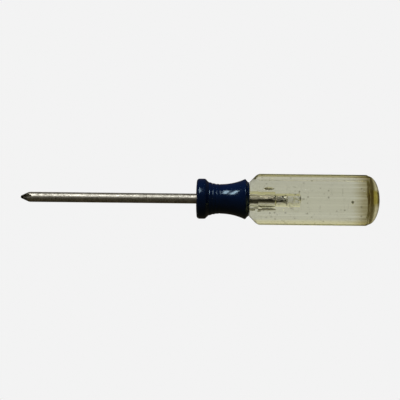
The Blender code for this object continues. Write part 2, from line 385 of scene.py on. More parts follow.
# The flared rim and the rear face: (behind the rim, above it), then (before the end, radius).
RIM_POINTS = ((0.15 * MM, 0.02 * MM), (0.35 * MM, -0.05 * MM), (0.7 * MM, -0.45 * MM))
REAR_POINTS = (
    (0.95 * MM, 10.25 * MM),
    (0.6 * MM, 9.95 * MM),
    (0.15 * MM, 9.85 * MM),
    (0.0, 9.7 * MM),
    (0.0, NECK_RADIUS + FIT_GAP),
)


def collar_profile():
    points = [(0.0, SHANK_RADIUS + FIT_GAP), FACE_MIDDLE]
    for k in range(FLANGE_STEPS + 1):
        turn = math.pi / 2 * k / FLANGE_STEPS
        x = FLANGE_START - (FLANGE_START - FACE_CROWN) * math.cos(turn)
        points.append((x, FACE_RADIUS + (FLANGE_RADIUS - FACE_RADIUS) * math.sin(turn)))
    corner_height = FLANGE_RADIUS - FLANGE_CORNER
    points += arc(FLANGE_END, corner_height, FLANGE_CORNER, start=90, end=35, steps=8)
    for k in range(WAIST_STATIONS + 1):
        x = WAIST_START + (RIM_AT - WAIST_START) * k / WAIST_STATIONS
        points.append((x, waist(x) - ring_dip(x)))
    points += [(RIM_AT + behind, waist(RIM_AT) + rise) for behind, rise in RIM_POINTS]
    points += [(collar_length - before, radius) for before, radius in REAR_POINTS]
    points += [(FRONT_WALL, NECK_RADIUS + FIT_GAP), (FRONT_WALL, SHANK_RADIUS + FIT_GAP)]
    points.append(points[0])
    return [(COLLAR_FRONT + x, r) for x, r in points]


collar = lathe("blue_collar", collar_profile(), steps=144)
smooth(collar, degrees=35)
print(count(collar))

# %% [markdown]
# ## The handle's bar
#
# A ten-sided bar of clear cellulose acetate is the stock for the handle. Its long edges are rounded,
# which matters more than it seems: light that meets a sharp edge inside clear plastic is thrown back
# many times and leaves dark bands. Rounding takes a little off the width, so the bar is widened again.

# %% The ten-sided bar
BAR_OVERHANG = 5 * MM
EDGE_ROUNDING = 2.2 * MM
LONG_EDGE = 20 * MM

start_fresh()
bar_start, bar_end = NECK_FRONT - BAR_OVERHANG, BUTT_END + BAR_OVERHANG
bpy.ops.mesh.primitive_cylinder_add(
    vertices=SIDES,
    radius=CORNER_RADIUS,
    depth=bar_end - bar_start,
    location=((bar_start + bar_end) / 2, 0, AXIS_Z),
    rotation=(0, math.pi / 2, 0),
)
handle = bpy.context.object
handle.name = "clear_handle"
settle(handle)
select_in_edit_mode(handle, "edges", lambda e: abs((e.verts[0].co - e.verts[1].co).x) > LONG_EDGE)
bpy.ops.mesh.bevel(offset=EDGE_ROUNDING, segments=8, affect="EDGES")
bpy.ops.object.mode_set(mode="OBJECT")
rounded_half = max(v.co.y for v in handle.data.vertices)
handle.scale.y = CORNER_RADIUS / rounded_half
settle(handle)
print(count(handle), "lowest point", round(min(v.co.z for v in handle.data.vertices), 6))

# %% [markdown]
# ## Neck, shoulder and butt
#
# The bar is chucked in a lathe. The neck, the 45 degree shoulder and the domed butt are turned, and
# the flats stay where the tool doesn't reach. The same happens here: the bar is intersected with the
# turned outline, so the scalloped edge between cone and flats comes out by itself.

# %% Draw the turned outline
SHOULDER_AT = COLLAR_REAR + FIT_GAP
SHOULDER_RADIUS = 10.1 * MM
SHOULDER_BLEND = 4.6 * MM
SHOULDER_ANGLE = 45
BUTT_HEIGHT = 6.6 * MM
BUTT_STEP = 0.65 * MM
BUTT_STATIONS = 32
ROUND_START = 0.5 * MM
EASING = 2.0 * MM
EASING_LEAD = 1.1 * EASING
EASING_TURN = math.radians(78)
EASING_STEPS = 8
TURNING_ROOM = 0.02 * MM
turned_limit = CORNER_RADIUS + TURNING_ROOM
butt_radius = CORNER_RADIUS - BUTT_STEP
body_end = BUTT_END - BUTT_HEIGHT
cone_end = SHOULDER_AT + turned_limit - SHOULDER_RADIUS
blend_reach = SHOULDER_BLEND * math.tan(math.radians(SHOULDER_ANGLE / 2))

handle_outline = [
    (NECK_FRONT, 0.0),
    (NECK_FRONT, NECK_RADIUS),
    (SHOULDER_AT, NECK_RADIUS),
    (SHOULDER_AT, SHOULDER_RADIUS),
]
handle_outline += arc(
    cone_end + blend_reach,
    turned_limit - SHOULDER_BLEND,
    SHOULDER_BLEND,
    start=90 + SHOULDER_ANGLE,
    end=90,
    steps=24,
)
# The corner between body and butt is eased, then the butt is half an ellipse.
round_length = BUTT_HEIGHT + ROUND_START
first_turn = math.asin(ROUND_START / round_length)
easing_height = turned_limit - butt_radius * math.cos(first_turn)
for k in range(EASING_STEPS + 1):
    turn = EASING_TURN * k / EASING_STEPS
    x = body_end - EASING_LEAD + EASING * math.sin(turn)
    handle_outline.append((x, turned_limit - easing_height * (1 - math.cos(turn))))
for k in range(BUTT_STATIONS):
    turn = first_turn + (math.pi / 2 - first_turn) * k / BUTT_STATIONS
    x = body_end - ROUND_START + round_length * math.sin(turn)
    handle_outline.append((x, butt_radius * math.cos(turn)))
handle_outline.append((BUTT_END, 0.0))
print("outline points:", len(handle_outline))

# %% Turn the handle
cut(handle, "INTERSECT", lathe("turned_outline", handle_outline, steps=240))
print(count(handle))

# %% [markdown]
# ## The bore
#
# The blade sits in a drilled hole with a wider lead-in, and the drill went deeper than the blade
# does. Seen through the plastic, the empty end of the hole is as plain as the blade itself. A slot
# takes the blade's wings.

# %% Drill the bore
LEAD_IN_RADIUS = 3.6 * MM
LEAD_IN_END = COLLAR_REAR + 15 * MM
LEAD_IN_TAPER = 0.4 * MM
BORE_RADIUS = SHANK_RADIUS + FIT_GAP
BORE_START = NECK_FRONT - 2 * MM
POCKET_END = BLADE_END + 9 * MM
DRILL_POINT = 1.9 * MM
bore_outline = [
    (BORE_START, 0.0),
    (BORE_START, LEAD_IN_RADIUS),
    (LEAD_IN_END, LEAD_IN_RADIUS),
    (LEAD_IN_END + LEAD_IN_TAPER, BORE_RADIUS),
    (POCKET_END - DRILL_POINT, BORE_RADIUS),
    (POCKET_END, 0.0),
]
cut(handle, "DIFFERENCE", lathe("bore", bore_outline, steps=96))
wing_sizes = (WING_LENGTH, WING_THICKNESS, WING_HEIGHT)
slot_sizes = [size + 2 * FIT_GAP for size in wing_sizes]
cut(handle, "DIFFERENCE", block((wing_middle, 0, AXIS_Z), slot_sizes))
print(count(handle))

# %% [markdown]
# ## A bubble and three slivers of air
#
# Thick clear mouldings often trap a bubble of air. Light can't pass its wall at a low angle, so it
# looks like a black dot. Beside the blade the plastic has shrunk from the steel and left thin slivers
# of air. A dark spot painted on the skin would stay on the skin when the tool turns, so they are
# small hollows, cut out of the handle like everything else. Their walls are also painted dark in the
# glass colour: painted shade that deepens the dark they make.

# %% Trap the bubble and the slivers
BUBBLE_RADIUS = 0.85 * MM
BUBBLE_AT = (body_end - 9.4 * MM, -1.5 * MM, AXIS_Z + 4.0 * MM)
# Each sliver has its middle and its half sizes.
SLIVERS = (
    ((COLLAR_REAR + 11.4 * MM, 4.4 * MM, AXIS_Z + 3.0 * MM), (3.0 * MM, 0.45 * MM, 0.5 * MM)),
    ((COLLAR_REAR + 10.0 * MM, -3.9 * MM, AXIS_Z + 1.5 * MM), (5.6 * MM, 0.45 * MM, 0.4 * MM)),
    ((COLLAR_REAR + 4.2 * MM, -4.6 * MM, AXIS_Z + 1.5 * MM), (2.6 * MM, 0.8 * MM, 0.5 * MM)),
)
start_fresh()
bpy.ops.mesh.primitive_uv_sphere_add(
    segments=24, ring_count=12, radius=BUBBLE_RADIUS, location=BUBBLE_AT
)
bubble = bpy.context.object
settle(bubble)
cut(handle, "DIFFERENCE", bubble)
for centre, half_sizes in SLIVERS:
    start_fresh()
    bpy.ops.mesh.primitive_uv_sphere_add(segments=32, ring_count=16, radius=1, location=centre)
    sliver = bpy.context.object
    sliver.scale = half_sizes
    settle(sliver)
    cut(handle, "DIFFERENCE", sliver)
print(count(handle))

# %% [markdown]
# ## Shading of the handle
#
# Curved parts are shaded smooth. The ten flats are shaded flat, since a smooth normal that leans
# even a little on a flat bends everything seen through it.


# %% Shade round parts smooth and flats flat
FLAT_AREA = 100 * MM * MM
FLAT_LEAN = 0.001


def is_flat(face):
    """One of the ten flats of the bar: a large face along the tool."""
    return abs(face.normal.x) < FLAT_LEAN and face.calc_area() > FLAT_AREA


smooth(handle, degrees=20)
select_in_edit_mode(handle, "faces", is_flat)
bpy.ops.mesh.faces_shade_flat()
bpy.ops.object.mode_set(mode="OBJECT")
print(count(handle))

# %% [markdown]
# ## Finishes
#
# Three finishes share some effects, so each effect is a node group: blotches, scratches, specks, drawn
# lines and places on the tool. Image textures would need unwrapped pieces and show their seams.
# Patterns from Object coordinates run through the solid like grain through wood. A group only puts
# out values that change over the surface, and each material decides what they do to its colour,
# roughness and bumps.


# %% Node helpers
def node(tree, kind, **settings):
    made = tree.nodes.new(kind)
    for name, value in settings.items():
        setattr(made, name, value)
    return made


def feed(tree, socket, value):
    """Links a socket to another node's output, or sets it to a number or a colour."""
    if isinstance(value, bpy.types.NodeSocket):
        tree.links.new(value, socket)
    else:
        socket.default_value = (*value, 1) if isinstance(value, tuple) else value


def math_node(tree, operation, first, second=None):
    made = node(tree, "ShaderNodeMath", operation=operation)
    feed(tree, made.inputs[0], first)
    if second is not None:
        feed(tree, made.inputs[1], second)
    return made.outputs[0]


def map_range(tree, value, low, high, to_low=0.0, to_high=1.0):
    made = node(tree, "ShaderNodeMapRange")
    made.clamp = True
    tree.links.new(value, made.inputs["Value"])
    ends = {"From Min": low, "From Max": high, "To Min": to_low, "To Max": to_high}
    for label, number in ends.items():
        made.inputs[label].default_value = number
    return made.outputs["Result"]


def mix(tree, amount, first, second, blend_type="MIX"):
    made = node(tree, "ShaderNodeMix", data_type="RGBA", blend_type=blend_type)
    for index, value in ((0, amount), (6, first), (7, second)):
        feed(tree, made.inputs[index], value)
    return made.outputs[2]


def multiply(tree, first, second, amount=1.0):
    return mix(tree, amount, first, second, "MULTIPLY")


def ramp(tree, value, stops):
    """A colour ramp from a row of (place, colour) pairs, with straight steps between them."""
    made = node(tree, "ShaderNodeValToRGB")
    tree.links.new(value, made.inputs["Fac"])
    points = made.color_ramp.elements
    for index, (place, colour) in enumerate((stops[0], stops[-1])):
        points[index].position = place
        points[index].color = (*colour, 1)
    for place, colour in stops[1:-1]:
        points.new(place).color = (*colour, 1)
    return made.outputs["Color"]


def object_place(tree):
    return node(tree, "ShaderNodeTexCoord").outputs["Object"]


def noise(tree, place, scale, detail=2.0):
    made = node(tree, "ShaderNodeTexNoise")
    for label, value in (("Vector", place), ("Scale", scale), ("Detail", detail)):
        feed(tree, made.inputs[label], value)
    return made.outputs["Fac"]


def add_bump(tree, height, strength, distance, before=None):
    made = node(tree, "ShaderNodeBump")
    made.inputs["Strength"].default_value = strength
    made.inputs["Distance"].default_value = distance
    tree.links.new(height, made.inputs["Height"])
    if before is not None:
        tree.links.new(before, made.inputs["Normal"])
    return made.outputs["Normal"]


# %% Start a group, use a group
def new_group(name, inputs, outputs):
    """An empty node group with float inputs (name, default) and float outputs."""
    group = bpy.data.node_groups.new(name, "ShaderNodeTree")
    for label, default in inputs:
        socket = group.interface.new_socket(label, in_out="INPUT", socket_type="NodeSocketFloat")
        socket.default_value = default
    for label in outputs:
        group.interface.new_socket(label, in_out="OUTPUT", socket_type="NodeSocketFloat")
    return group, group.nodes.new("NodeGroupInput"), group.nodes.new("NodeGroupOutput")


def place_group(tree, group, **values):
    """Places a node group in a material and returns its outputs."""
    made = node(tree, "ShaderNodeGroup")
    made.node_tree = group
    for label, value in values.items():
        made.inputs[label].default_value = value
    return made.outputs


def use(tree, group, **values):
    return place_group(tree, group, **values)["Mask"]


# %% [markdown]
# ## Group: blotches
#
# Plating, moulded skin and old plastic all vary in cloudy patches. One noise looks like a pattern,
# so a large one and one 5.3 times finer are added.


# %% Blotches
def make_blotches():
    """Cloudy patches from two sizes of noise. Output 0 to 1."""
    tree, entry, out = new_group("blotches", [("Scale", 200.0), ("Detail", 4.0)], ["Mask"])
    place = object_place(tree)
    large = noise(tree, place, entry.outputs["Scale"], entry.outputs["Detail"])
    fine = noise(tree, place, math_node(tree, "MULTIPLY", entry.outputs["Scale"], 5.3))
    mixed = math_node(
        tree,
        "ADD",
        math_node(tree, "MULTIPLY", large, 0.65),
        math_node(tree, "MULTIPLY", fine, 0.35),
    )
    tree.links.new(map_range(tree, mixed, 0.36, 0.64), out.inputs["Mask"])
    return tree


BLOTCHES = make_blotches()
print(BLOTCHES.name, "nodes:", len(BLOTCHES.nodes))

# %% [markdown]
# ## Group: scratches
#
# A scratch is a thin line that wanders and stops. Where a noise crosses its middle value it draws
# such lines: stretching the noise gives them a direction, and a second noise lets them come and go.


# %% Scratches
def make_scratches():
    """Thin lines where a stretched noise crosses its middle value. Output 0 to 1."""
    inputs = [("Scale", 300.0), ("Stretch", 0.08), ("Turn", 0.0), ("Width", 0.012)]
    tree, entry, out = new_group("scratches", inputs, ["Mask"])
    place = object_place(tree)
    mapping = node(tree, "ShaderNodeMapping", vector_type="TEXTURE")
    tree.links.new(place, mapping.inputs["Vector"])
    turn = node(tree, "ShaderNodeCombineXYZ")
    tree.links.new(entry.outputs["Turn"], turn.inputs["Y"])
    tree.links.new(entry.outputs["Turn"], turn.inputs["Z"])
    tree.links.new(turn.outputs["Vector"], mapping.inputs["Rotation"])
    size = node(tree, "ShaderNodeCombineXYZ")
    size.inputs["Y"].default_value = 1.0
    size.inputs["Z"].default_value = 1.0
    tree.links.new(math_node(tree, "DIVIDE", 1.0, entry.outputs["Stretch"]), size.inputs["X"])
    tree.links.new(size.outputs["Vector"], mapping.inputs["Scale"])
    crossing = noise(tree, mapping.outputs["Vector"], entry.outputs["Scale"], 1.0)
    away = math_node(tree, "ABSOLUTE", math_node(tree, "SUBTRACT", crossing, 0.5))
    away = math_node(tree, "DIVIDE", away, entry.outputs["Width"])
    line = math_node(tree, "MAXIMUM", math_node(tree, "SUBTRACT", 1.0, away), 0.0)
    patches = map_range(tree, noise(tree, place, 160.0), 0.48, 0.62)
    tree.links.new(math_node(tree, "MULTIPLY", line, patches), out.inputs["Mask"])
    return tree


SCRATCHES = make_scratches()
print(SCRATCHES.name, "nodes:", len(SCRATCHES.nodes))

# %% [markdown]
# ## Group: specks
#
# Pits, dust and nicks are small, round and scattered. Cells of a Voronoi texture have a centre each,
# and the cell's own random colour picks which of them get a speck.


# %% Specks
def make_specks():
    """Small round spots, where a cell's centre is near. Output 0 to 1."""
    inputs = [("Scale", 700.0), ("Size", 0.18), ("Rarity", 0.8)]
    tree, entry, out = new_group("specks", inputs, ["Mask"])
    cells = node(tree, "ShaderNodeTexVoronoi")
    tree.links.new(object_place(tree), cells.inputs["Vector"])
    tree.links.new(entry.outputs["Scale"], cells.inputs["Scale"])
    away = math_node(tree, "DIVIDE", cells.outputs["Distance"], entry.outputs["Size"])
    near = math_node(tree, "MAXIMUM", math_node(tree, "SUBTRACT", 1.0, away), 0.0)
    pick = node(tree, "ShaderNodeSeparateColor")
    tree.links.new(cells.outputs["Color"], pick.inputs["Color"])
    chosen = math_node(tree, "GREATER_THAN", pick.outputs["Red"], entry.outputs["Rarity"])
    tree.links.new(math_node(tree, "MULTIPLY", near, chosen), out.inputs["Mask"])
    return tree


SPECKS = make_specks()
print(SPECKS.name, "nodes:", len(SPECKS.nodes))

# %% [markdown]
# ## Group: drawn lines
#
# A bar that is pulled through its die gets long fine streaks. Noise that is squeezed hard along the
# tool gives them without a repeating pattern.


# %% Drawn lines
def make_drawn_lines():
    """Long fine streaks along the tool. Output 0 to 1."""
    tree, entry, out = new_group("drawn lines", [("Scale", 900.0), ("Stretch", 0.02)], ["Mask"])
    size = node(tree, "ShaderNodeCombineXYZ")
    size.inputs["Y"].default_value = 1.0
    size.inputs["Z"].default_value = 1.0
    tree.links.new(entry.outputs["Stretch"], size.inputs["X"])
    squeezed = node(tree, "ShaderNodeVectorMath", operation="MULTIPLY")
    tree.links.new(object_place(tree), squeezed.inputs[0])
    tree.links.new(size.outputs["Vector"], squeezed.inputs[1])
    lines = noise(tree, squeezed.outputs["Vector"], entry.outputs["Scale"], 3.0)
    tree.links.new(map_range(tree, lines, 0.35, 0.65), out.inputs["Mask"])
    return tree


DRAWN_LINES = make_drawn_lines()
print(DRAWN_LINES.name, "nodes:", len(DRAWN_LINES.nodes))

# %% [markdown]
# ## Group: places on the tool
#
# A worn tip, a crusted end or an aged butt begins at a certain place. This group says where a point
# is, in millimetres, so that the materials can name such places as a ruler would.


# %% Stations
def make_stations():
    """How far along the tool, how far to one side, and how far from its axis, in millimetres."""
    outputs = ["Along", "Aside", "From axis"]
    tree, entry, out = new_group("stations", [("Axis height", AXIS_Z)], outputs)
    axes = node(tree, "ShaderNodeSeparateXYZ")
    tree.links.new(object_place(tree), axes.inputs["Vector"])
    rise = math_node(tree, "SUBTRACT", axes.outputs["Z"], entry.outputs["Axis height"])
    squares = math_node(
        tree,
        "ADD",
        math_node(tree, "MULTIPLY", rise, rise),
        math_node(tree, "MULTIPLY", axes.outputs["Y"], axes.outputs["Y"]),
    )
    from_axis = math_node(tree, "SQRT", squares)
    for label, value in zip(outputs, (axes.outputs["X"], axes.outputs["Y"], from_axis)):
        tree.links.new(math_node(tree, "DIVIDE", value, MM), out.inputs[label])
    return tree


STATIONS = make_stations()
BLADE_END_STATION = BLADE_END / MM
TIP_STATION = TIP / MM
print("tip at", round(TIP_STATION, 1), "and buried end at", round(BLADE_END_STATION, 1))


# %% Start a material, wear a material
def new_material(name):
    made = bpy.data.materials.new(name)
    made.use_nodes = True
    return made, made.node_tree, made.node_tree.nodes["Principled BSDF"]


def wear(piece, material):
    piece.data.materials.clear()
    piece.data.materials.append(material)
    print(piece.name, "wears", material.name, "with", len(material.node_tree.nodes), "nodes")


# %% [markdown]
# ## Aged nickel plate
#
# The plate has gone warm grey in cloudy patches, duller where it is stained, with fine scratches along
# and around the blade and a few dark pits. The working tip is rubbed down to dark steel, and the last
# few millimetres inside the handle are crusted black and white. A dark paint would look flat: the
# metal stays a metal, and its colour, roughness and bumps change together.

# %% Plate, stains and pits
NICKEL_DULL, NICKEL_BRIGHT = (0.23, 0.215, 0.175), (0.76, 0.74, 0.655)
PIT_BROWN = (0.10, 0.08, 0.05)

steel, tree, shader = new_material("aged_nickel")
patches = use(tree, BLOTCHES, Scale=260.0)
grains = use(tree, BLOTCHES, Scale=1300.0)
along = use(tree, SCRATCHES, Scale=900.0, Stretch=0.05, Width=0.02)
across = use(tree, SCRATCHES, Scale=500.0, Stretch=0.4, Turn=1.2, Width=0.012)
pits = use(tree, SPECKS, Scale=420.0, Size=0.22, Rarity=0.86)
tone = math_node(
    tree,
    "ADD",
    math_node(tree, "MULTIPLY", patches, 0.4),
    math_node(tree, "MULTIPLY", grains, 0.6),
)
plate = mix(tree, pits, mix(tree, tone, NICKEL_DULL, NICKEL_BRIGHT), PIT_BROWN)
print("plate from", NICKEL_DULL, "to", NICKEL_BRIGHT)

# %% Crusted end, rubbed tip and surface
CRUST_START, CRUST_FULL = BLADE_END_STATION - 5.0, BLADE_END_STATION - 4.0
RUBBED_END, RUBBED_FULL = TIP_STATION + 5.0, TIP_STATION + 2.5
RUBBED_TINT = (0.10, 0.085, 0.06)

where = place_group(tree, STATIONS)
crust = noise(tree, object_place(tree), 650.0)
black_and_white = ramp(tree, crust, [(0.44, (0.01, 0.01, 0.01)), (0.54, (1.0, 1.0, 0.95))])
crusted = map_range(tree, where["Along"], CRUST_START, CRUST_FULL)
colour = mix(tree, crusted, plate, black_and_white)
rubbed = map_range(tree, where["Along"], RUBBED_END, RUBBED_FULL)
grime = map_range(tree, crust, 0.62, 0.42, 0.25, 1.0)
colour = multiply(tree, colour, RUBBED_TINT, math_node(tree, "MULTIPLY", rubbed, grime))
tree.links.new(colour, shader.inputs["Base Color"])
shader.inputs["Metallic"].default_value = 1.0

roughness = map_range(tree, tone, 0.0, 1.0, 0.56, 0.38)
roughness = math_node(tree, "ADD", roughness, math_node(tree, "MULTIPLY", along, 0.15))
tree.links.new(roughness, shader.inputs["Roughness"])
marks = math_node(tree, "ADD", across, math_node(tree, "MULTIPLY", pits, 2.0))
marks = math_node(tree, "ADD", along, marks)
sunk = math_node(tree, "SUBTRACT", 1.0, marks)
normal = add_bump(tree, sunk, strength=0.35, distance=0.02 * MM)
normal = add_bump(tree, grains, strength=0.35, distance=0.04 * MM, before=normal)
tree.links.new(normal, shader.inputs["Normal"])
wear(blade, steel)

# %% [markdown]
# ## Glossy navy plastic
#
# Moulded cellulose plastic: almost black blue, with a gloss skin. Slow waves in the skin bend its
# reflections a little, and handling has left hairline scratches and a trace of dust. A lighter blue
# under a dark light would look like paint, so the colour itself is nearly black, and the bluish tint
# of the gloss does the rest.

# %% Collar material
NAVY_DEEP, NAVY_LIGHT = (0.0006, 0.0044, 0.0205), (0.0010, 0.0068, 0.0310)
DUST_GREY = (0.10, 0.11, 0.12)

navy, tree, shader = new_material("navy_gloss")
clouds = use(tree, BLOTCHES, Scale=120.0)
hairs = use(tree, SCRATCHES, Scale=700.0, Stretch=0.3, Turn=0.7, Width=0.01)
dust = use(tree, SPECKS, Scale=1500.0, Size=0.16, Rarity=0.93)
base = mix(tree, clouds, NAVY_DEEP, NAVY_LIGHT)
dusty = mix(tree, math_node(tree, "MULTIPLY", dust, 0.5), base, DUST_GREY)
tree.links.new(dusty, shader.inputs["Base Color"])
roughness = map_range(tree, clouds, 0, 1, 0.10, 0.17)
roughness = math_node(tree, "ADD", roughness, math_node(tree, "MULTIPLY", hairs, 0.2))
tree.links.new(roughness, shader.inputs["Roughness"])
shader.inputs["IOR"].default_value = 1.5
shader.inputs["Specular Tint"].default_value = (0.60, 0.85, 1.0, 1)
waves = noise(tree, object_place(tree), 150.0)
normal = add_bump(tree, waves, strength=0.25, distance=0.25 * MM)
sunk = math_node(tree, "SUBTRACT", 1.0, hairs)
normal = add_bump(tree, sunk, strength=0.3, distance=0.01 * MM, before=normal)
tree.links.new(normal, shader.inputs["Normal"])
wear(collar, navy)

# %% [markdown]
# ## Clear cellulose acetate
#
# Old acetate is water-clear in a thin piece and olive in a thick one, because it swallows a little
# blue light all along the way. That colour sits in the volume. The skin is faintly streaked by the
# die.
# Towards the butt the colour turns amber and darker: partly the aged butt, partly painted shade of the
# shadow that the domed butt throws under the handle. Along the two side edges it carries painted light
# and shade: a yellow tint of light that came through the handle on the -Y edge, and a dark olive band
# of shade inside the +Y edge. All of this is put in the glass colour, which tints light on its way in
# and again on its way out.

# %% Aged skin, with painted shade towards the butt and painted light and shade at the edges
# Towards the butt the glass colour turns amber and darker: partly the aged butt, partly painted shade
# of the shadow that the domed butt throws under the handle.
BUTT_AMBER_SHADE_START, BUTT_AMBER_SHADE_FULL = 88.5, 96.0
HALF_WIDTH = 15.0
BUTT_AMBER_SHADE_STOPS = [(0.0, (1, 1, 1)), (0.45, (0.84, 0.81, 0.72)), (1.0, (0.54, 0.49, 0.34))]
# Painted light and shade along the side edges, from the side at -Y to the side at +Y: a yellow tint of
# light that came through the handle at -Y, a dark olive band of shade just inside +Y, and yellow again
# at its very edge.
EDGE_LIGHT_AND_SHADE_STOPS = [
    (0.0, (1.0, 0.97, 0.62)),
    (0.07, (1.0, 0.98, 0.70)),
    (0.12, (1, 1, 1)),
    (0.905, (1, 1, 1)),
    (0.935, (0.50, 0.47, 0.22)),
    (0.962, (0.54, 0.50, 0.20)),
    (1.0, (0.95, 0.90, 0.45)),
]
STREAK_TINT = (0.87, 0.86, 0.83)

clear, tree, shader = new_material("clear_acetate")
shader.inputs["Transmission Weight"].default_value = 1.0
shader.inputs["IOR"].default_value = 1.48
where = place_group(tree, STATIONS)
streaks = use(tree, DRAWN_LINES, Scale=900.0, Stretch=0.015)
# Amber and painted shade towards the butt, with a ragged start from the die's streaks.
ragged = map_range(tree, streaks, 0, 1, -1.5, 1.5)
ragged_along = math_node(tree, "ADD", where["Along"], ragged)
skin = ramp(tree, map_range(tree, ragged_along, BUTT_AMBER_SHADE_START, BUTT_AMBER_SHADE_FULL), BUTT_AMBER_SHADE_STOPS)
# Painted light and shade along the two side edges.
side = map_range(tree, where["Aside"], -HALF_WIDTH, HALF_WIDTH)
skin = multiply(tree, skin, ramp(tree, side, EDGE_LIGHT_AND_SHADE_STOPS))
skin = multiply(tree, skin, STREAK_TINT, streaks)
print("amber from", BUTT_AMBER_SHADE_START, "to", BUTT_AMBER_SHADE_FULL, "mm")

# %% Dirt, the bore's wall, and painted shade in the bubble and the slivers
DIRT_TINT = (0.08, 0.075, 0.05)
BORE_TINT = (0.86, 0.86, 0.83)
STEEL_SIDE_TINT = (0.94, 0.93, 0.97)
SLIVER_PAINTED_SHADE = (0.42, 0.41, 0.32)
BUBBLE_SHADE_REACH = 1.15

clouds = use(tree, BLOTCHES, Scale=90.0)
nicks = use(tree, SPECKS, Scale=420.0, Size=0.34, Rarity=0.83)
hairs = use(tree, SCRATCHES, Scale=420.0, Stretch=0.35, Turn=0.9, Width=0.010)
dirty = math_node(tree, "MAXIMUM", nicks, math_node(tree, "MULTIPLY", hairs, 0.8))
skin = multiply(tree, skin, DIRT_TINT, dirty)

# The wall of the bore is a little darker and greyer, and darker and slightly bluer still along the
# steel.
in_bore = map_range(tree, where["From axis"], 5.0, 4.2)
by_steel = map_range(tree, where["Along"], BLADE_END_STATION + 1.0, BLADE_END_STATION)
skin = multiply(tree, skin, BORE_TINT, in_bore)
skin = multiply(tree, skin, STEEL_SIDE_TINT, math_node(tree, "MULTIPLY", in_bore, by_steel))

# The bubble's wall is painted black and the slivers' walls olive grey: painted shade that deepens the
# dark these hollows make.
place = object_place(tree)
from_bubble = node(tree, "ShaderNodeVectorMath", operation="DISTANCE")
tree.links.new(place, from_bubble.inputs[0])
from_bubble.inputs[1].default_value = BUBBLE_AT
bubble_painted_shade = math_node(tree, "LESS_THAN", from_bubble.outputs["Value"], BUBBLE_RADIUS * BUBBLE_SHADE_REACH)
# Painted shade: the bubble's wall is black.
skin = multiply(tree, skin, (0.0, 0.0, 0.0), bubble_painted_shade)
for centre, half_sizes in SLIVERS:
    away = node(tree, "ShaderNodeVectorMath", operation="SUBTRACT")
    tree.links.new(place, away.inputs[0])
    away.inputs[1].default_value = centre
    scaled = node(tree, "ShaderNodeVectorMath", operation="DIVIDE")
    tree.links.new(away.outputs["Vector"], scaled.inputs[0])
    scaled.inputs[1].default_value = half_sizes
    reach = node(tree, "ShaderNodeVectorMath", operation="LENGTH")
    tree.links.new(scaled.outputs["Vector"], reach.inputs[0])
    on_wall = map_range(tree, reach.outputs["Value"], 1.15, 1.05)
    # Painted shade on each sliver's wall.
    skin = multiply(tree, skin, SLIVER_PAINTED_SHADE, on_wall)
tree.links.new(skin, shader.inputs["Base Color"])
print("marks in the plastic:", 1 + len(SLIVERS))

# %% [markdown]
# ## Surface and depth of the acetate
#
# The skin is polished, with slow waves from the turning and small dents at the nicks. The drill left
# the blind end of the bore torn: a few crumbs stand up from its wall. A plain frosted end would look
# sandblasted, so the crumbs are sparse. The absorption is set on the volume's own sockets.

# %% Gloss, bumps and absorption
roughness = map_range(tree, clouds, 0, 1, 0.015, 0.05)
roughness = math_node(tree, "ADD", roughness, math_node(tree, "MULTIPLY", hairs, 0.25))
tree.links.new(roughness, shader.inputs["Roughness"])
normal = add_bump(tree, noise(tree, place, 110.0), strength=0.10, distance=0.15 * MM)
marks = math_node(tree, "ADD", math_node(tree, "MULTIPLY", nicks, 2.0), hairs)
sunk = math_node(tree, "SUBTRACT", 1.0, marks)
normal = add_bump(tree, sunk, strength=0.5, distance=0.03 * MM, before=normal)
crumbs = use(tree, SPECKS, Scale=750.0, Size=0.42, Rarity=0.45)
blind = map_range(tree, where["Along"], BLADE_END_STATION - 3.0, BLADE_END_STATION)
torn = math_node(tree, "MULTIPLY", math_node(tree, "MULTIPLY", in_bore, blind), crumbs)
normal = add_bump(tree, torn, strength=1.0, distance=1.2 * MM, before=normal)
tree.links.new(normal, shader.inputs["Normal"])
depth = node(tree, "ShaderNodeVolumeAbsorption")
depth.inputs["Color"].default_value = (0.60, 0.58, 0.25, 1)
depth.inputs["Density"].default_value = 24.0
tree.links.new(depth.outputs["Volume"], tree.nodes["Material Output"].inputs["Volume"])
wear(handle, clear)

# %% [markdown]
# ## Fit the pieces to the frame
#
# Each finished piece rides on the tool's one body and stands in for its plain engineering solid.

# %% Ride and replace
for piece, solid, slot_name in (
    (blade, "blade", "steel"),
    (collar, "collar", "navy_plastic"),
    (handle, "handle", "clear_plastic"),
):
    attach(piece, "root")
    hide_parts(solid)
    print(piece.name, "stands for", solid)

# %% [markdown]
# ## Table
#
# The tool lies on a pale table that glows evenly, as a light table does, so nothing on it throws a
# shadow. Only the camera sees it. Light that comes through the handle is left to the room, because a
# table seen through the plastic would fill it with one even tone.

# %% Table
TABLE_TONE = 0.896
start_fresh()
bpy.ops.mesh.primitive_plane_add(size=6.0, location=(0, 0, 0))
table = bpy.context.object
table.name = "table"
table_paint, tree, shader = new_material("pale_table")
shader.inputs["Base Color"].default_value = (0, 0, 0, 1)
shader.inputs["Roughness"].default_value = 1.0
shader.inputs["Specular IOR Level"].default_value = 0.0
shader.inputs["Emission Color"].default_value = (1, 1, 1, 1)
shader.inputs["Emission Strength"].default_value = TABLE_TONE
table.data.materials.append(table_paint)
table.visible_glossy = False
table.visible_diffuse = False
table.visible_transmission = False
print("table tone", TABLE_TONE)

# %% [markdown]
# ## Lights
#
# Two tall soft boxes side by side stand behind the tool, towards its tip, like the two panes of a
# window. Their reflections are the highlights on the collar and the bright line along the blade. A
# low, wide, bluish light fills the navy plastic from the same side and is hidden from reflections.


